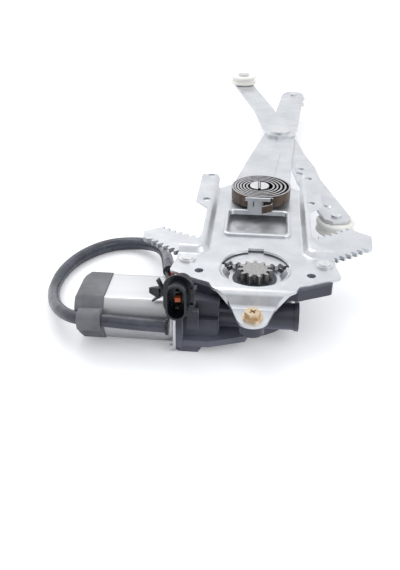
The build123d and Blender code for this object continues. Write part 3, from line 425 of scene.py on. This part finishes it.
def make_lights():
    for name, (at, aim, side, power) in LIGHTS.items():
        data = bpy.data.lights.new(name, "AREA")
        data.shape = "RECTANGLE"
        data.size = side
        data.size_y = side
        data.energy = power
        lamp = new_object(name, data)
        lamp.location = at
        lamp.rotation_euler = (Vector(aim) - Vector(at)).to_track_quat("-Z", "Y").to_euler()


# ---- harness: the sleeve from motor to plug, and its two wires -----------
SLEEVE_D = 9.5 * MM
SLEEVE_ROUTE = [
    (-58.0, -194.0, -26.4), (-82.0, -194.0, -25.6), (-106.0, -194.0, -24.0), (-124.5, -190.5, -26.0),
    (-137.0, -178.5, -30.0), (-148.0, -160.0, -36.0), (-156.5, -138.0, -42.0), (-162.5, -115.0, -46.4),
    (-162.5, -88.0, -46.4), (-153.5, -60.0, -46.0), (-134.0, -36.0, -46.0), (-108.5, -30.5, -45.6),
    (-89.0, -45.0, -40.0), (-78.5, -70.0, -32.0), (-72.5, -95.0, -24.0), (-68.2, -118.0, -17.0),
    (-64.0, -141.5, -12.05),
]
# How far the loose sleeving swells at each point of its route.
SLEEVE_SWELL = [1.0] * 8 + [1.08, 1.18, 1.22, 1.2, 1.1] + [1.0] * 4

WIRE_D = 2.4 * MM
WIRE_OFFSETS = {"wire_red": 2.0, "wire_black": -2.0}
WIRE_LEAD_OUT, WIRE_LEAD_IN = 5, 7
WIRE_MIDDLE_X, WIRE_MIDDLE_Y, WIRE_MIDDLE_Z = -60.4, -158.0, -9.2
WIRE_MIDDLE_SPREAD = 0.9

PLUG_MOUTH = Vector((-51.3, -203.2, -1.8))
PLUG_DEPTH = 26.5
REACH = Vector((-0.07, -1, 0)).normalized()
ACROSS = Vector((-REACH.y, REACH.x, 0))
PLUG_BACK = PLUG_MOUTH - REACH * PLUG_DEPTH


def curve_along(points, name, diameter, material, swell=None):
    """A round cord with these NURBS control points, in millimetres, `swell` times as thick at each."""
    data = bpy.data.curves.new(name, "CURVE")
    data.dimensions = "3D"
    data.bevel_depth = diameter / 2
    data.bevel_resolution = 5
    data.use_fill_caps = True
    spline = data.splines.new("NURBS")
    spline.points.add(len(points) - 1)
    for point, at, radius in zip(spline.points, points, swell or [1.0] * len(points)):
        point.co = (*(Vector(at) * MM), 1)
        point.radius = radius
    spline.order_u = 3
    spline.use_endpoint_u = True
    spline.resolution_u = 10
    data.materials.append(material)
    return new_object(name, data)


def make_sleeve():
    sleeve = curve_along(SLEEVE_ROUTE, "sleeve", SLEEVE_D, MATERIALS["sleeve_vinyl"], SLEEVE_SWELL)
    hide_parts("cable_sleeve")
    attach(sleeve, "base")
    return sleeve


def make_wires():
    """Two wires side by side, straight out of the sleeve's end and straight into the plug's back."""
    end = Vector(SLEEVE_ROUTE[-1])
    way = (end - Vector(SLEEVE_ROUTE[-2])).normalized()
    for name, offset in WIRE_OFFSETS.items():
        start = end + Vector((0, 0, 1)).cross(way).normalized() * offset
        middle = Vector((WIRE_MIDDLE_X + WIRE_MIDDLE_SPREAD * offset, WIRE_MIDDLE_Y, WIRE_MIDDLE_Z))
        plug_end = PLUG_BACK + ACROSS * offset
        route = [start, start + way * WIRE_LEAD_OUT, middle, plug_end - REACH * WIRE_LEAD_IN, plug_end]
        wire = curve_along(route, name + "_run", WIRE_D, MATERIALS[name])
        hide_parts(name)
        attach(wire, "base")


# ---- outlines, lofts and cuts --------------------------------------------
CIRCLE_STEPS = 40
CORNER_STEPS = 6
BEVEL_STEPS = 4
BEVEL_FROM = radians(40)


def circle(y, z, radius, steps=CIRCLE_STEPS):
    angles = [2 * pi * i / steps for i in range(steps)]
    return [(y + radius * cos(angle), z + radius * sin(angle)) for angle in angles]


def rounded_box(y, z, width, height, radius):
    points = []
    for quarter, (dy, dz) in enumerate(((1, 1), (-1, 1), (-1, -1), (1, -1))):
        for i in range(CORNER_STEPS + 1):
            angle = pi / 2 * (quarter + i / CORNER_STEPS)
            points.append((y + dy * (width / 2 - radius) + radius * cos(angle),
                           z + dz * (height / 2 - radius) + radius * sin(angle)))
    return points


def loft(name, sections, bevel=0.0):
    """A solid through (x, outline) sections, in millimetres, its sharper edges rounded."""
    mesh = bpy.data.meshes.new(name)
    count = len(sections[0][1])
    verts = [(x * MM, y * MM, z * MM) for x, outline in sections for y, z in outline]
    faces = [tuple(reversed(range(count))), tuple(range(len(verts) - count, len(verts)))]
    for row in range(0, len(verts) - count, count):
        for i in range(count):
            after = (i + 1) % count
            faces.append((row + i, row + after, row + count + after, row + count + i))
    mesh.from_pydata(verts, [], faces)
    piece = new_object(name, mesh)
    if bevel:
        change(piece, "BEVEL", width=bevel * MM, segments=BEVEL_STEPS, limit_method="ANGLE",
               angle_limit=BEVEL_FROM)
    return piece


def change(piece, kind, **settings):
    """Put one modifier on a piece and bake it into its mesh."""
    modifier = piece.modifiers.new(kind.lower(), kind)
    for name, value in settings.items():
        setattr(modifier, name, value)
    with bpy.context.temp_override(object=piece, active_object=piece, selected_objects=[piece]):
        bpy.ops.object.modifier_apply(modifier=modifier.name)


def join_or_cut(piece, other, operation):
    """Join another piece to this one, or cut its shape away, and remove the other."""
    change(piece, "BOOLEAN", object=other, operation=operation, solver="EXACT")
    bpy.data.objects.remove(other)


def sleeve_cutter(sleeve, gap):
    """A mesh of the sleeve, thicker by a gap all round."""
    copy = sleeve.copy()
    copy.data = sleeve.data.copy()
    copy.data.bevel_depth = SLEEVE_D / 2 + gap * MM
    bpy.context.collection.objects.link(copy)
    mesh = bpy.data.meshes.new_from_object(copy.evaluated_get(bpy.context.evaluated_depsgraph_get()))
    bpy.data.objects.remove(copy)
    return new_object("cutter", mesh)


# ---- motor: drawn can, rubber end cap and the sleeve's gland -------------
CAN_Y, CAN_Z = -165.0, -29.8
CAN_R, CAN_LEFT, CAN_RIGHT = 24.0, -107.0, -55.5
CAN_FLAT = 17.2
CAN_LOW_FLAT_LEFT = 15.7
CAN_BEVEL = 1.2
CAN_STEPS = 96
CAN_FIT = 0.05

CAP_RIGHT, CAP_WALL, CAP_LOW_FLAT = -105.0, 1.0, 16.2
CAP_BEVEL = 0.9
# Each section's x, and how far the rim's outline is drawn in there.
CAP_SECTIONS = [(-127.0, 0.24), (-125.0, 0.12), (-121.0, 0.0), (CAP_RIGHT, 0.0)]
BORE_PAST_CAP = 5
BORE_FALL = 0.1

# The strap's two ends, as x, y and z.
STRAP_ENDS = [(-122.0, -192.3, -25.4), (CAP_RIGHT, -192.8, -24.6)]
STRAP_WIDTH, STRAP_HEIGHT, STRAP_CORNER = 14.6, 15.0, 6.0
STRAP_BEVEL = 1.0
STRAP_GAP = 0.15

GLAND_LEFT, GLAND_RIGHT, GLAND_R = -59.6, -57.5, 6.2
GLAND_BEVEL = 0.4
GLAND_GAP = 0.05
GLAND_CUT_LEFT, GLAND_CUT_RIGHT = -70, -50


def flatted_circle(radius, top, bottom):
    """A circle about the can's axis with its top and bottom cut flat, as (y, z) points."""
    return [(CAN_Y + y, CAN_Z + max(-bottom, min(top, z))) for y, z in circle(0, 0, radius, CAN_STEPS)]


def shrunk(outline, by):
    """An outline about the can's axis, drawn in toward the axis by a share of its size."""
    return [(CAN_Y + (y - CAN_Y) * (1 - by), CAN_Z + (z - CAN_Z) * (1 - by)) for y, z in outline]


def make_can():
    """The can's lower flat rises toward the cap."""
    left = flatted_circle(CAN_R, CAN_FLAT, CAN_LOW_FLAT_LEFT)
    right = flatted_circle(CAN_R, CAN_FLAT, CAN_FLAT)
    can = loft("drawn_can", [(CAN_LEFT, left), (CAN_RIGHT, right)], CAN_BEVEL)
    finish_piece(can, "motor_can")


def make_cap(sleeve):
    """The cap and its strap are one piece, bored for the can and cut along the sleeve."""
    rim = flatted_circle(CAN_R + CAP_WALL, CAN_FLAT + CAP_WALL, CAP_LOW_FLAT)
    cap = loft("rubber_cap", [(x, shrunk(rim, by)) for x, by in CAP_SECTIONS], CAP_BEVEL)
    strap = [(x, rounded_box(y, z, STRAP_WIDTH, STRAP_HEIGHT, STRAP_CORNER)) for x, y, z in STRAP_ENDS]
    join_or_cut(cap, loft("strap", strap, STRAP_BEVEL), "UNION")
    radius, top, bottom = CAN_R + CAN_FIT, CAN_FLAT + CAN_FIT, CAN_LOW_FLAT_LEFT + CAN_FIT
    bore = [(CAN_LEFT, flatted_circle(radius, top, bottom)),
            (CAP_RIGHT + BORE_PAST_CAP, flatted_circle(radius, top, bottom + BORE_FALL))]
    join_or_cut(cap, loft("bore", bore), "DIFFERENCE")
    bpy.context.view_layer.update()
    join_or_cut(cap, sleeve_cutter(sleeve, STRAP_GAP), "DIFFERENCE")
    finish_piece(cap, "end_cap")


def make_gland(sleeve):
    """A ring about the sleeve where it leaves the motor, cut to sit against the can."""
    _, y, z = SLEEVE_ROUTE[0]
    ring = circle(y, z, GLAND_R)
    gland = loft("gland", [(GLAND_LEFT, ring), (GLAND_RIGHT, ring)], GLAND_BEVEL)
    can = flatted_circle(CAN_R + CAN_FIT, CAN_FLAT + CAN_FIT, CAN_FLAT + CAN_FIT)
    join_or_cut(gland, loft("bore", [(GLAND_CUT_LEFT, can), (GLAND_CUT_RIGHT, can)]), "DIFFERENCE")
    join_or_cut(gland, sleeve_cutter(sleeve, GLAND_GAP), "DIFFERENCE")
    finish_piece(gland, "cable_gland")


# ---- the orange block in the plug's mouth --------------------------------
# Measured from the middle of the CAD's seal.
SEAL_TO_LEFT, SEAL_TO_RIGHT, SEAL_DROP = 2.3, 1.9, 1.3
SEAL_SIDE_GAPS = 0.3
SEAL_HEIGHT, SEAL_CORNER = 3.6, 0.7
SEAL_BEVEL = 0.5


def make_seal():
    low, high = (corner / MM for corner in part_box("connector_seal"))
    middle, size = (low + high) / 2, high - low
    outline = rounded_box(middle.y, middle.z - SEAL_DROP, size.y - SEAL_SIDE_GAPS, SEAL_HEIGHT, SEAL_CORNER)
    block = loft("seal_block", [(middle.x - SEAL_TO_LEFT, outline), (middle.x + SEAL_TO_RIGHT, outline)],
                 SEAL_BEVEL)
    finish_piece(block, "connector_seal")


# ---- the whole scene -----------------------------------------------------
make_camera()
dress_frame()
make_seal()
cable = make_sleeve()
make_wires()
make_can()
make_cap(cable)
make_gland(cable)
make_floor()
make_surroundings()
make_lights()
bpy.context.scene.view_settings.view_transform = "Standard"
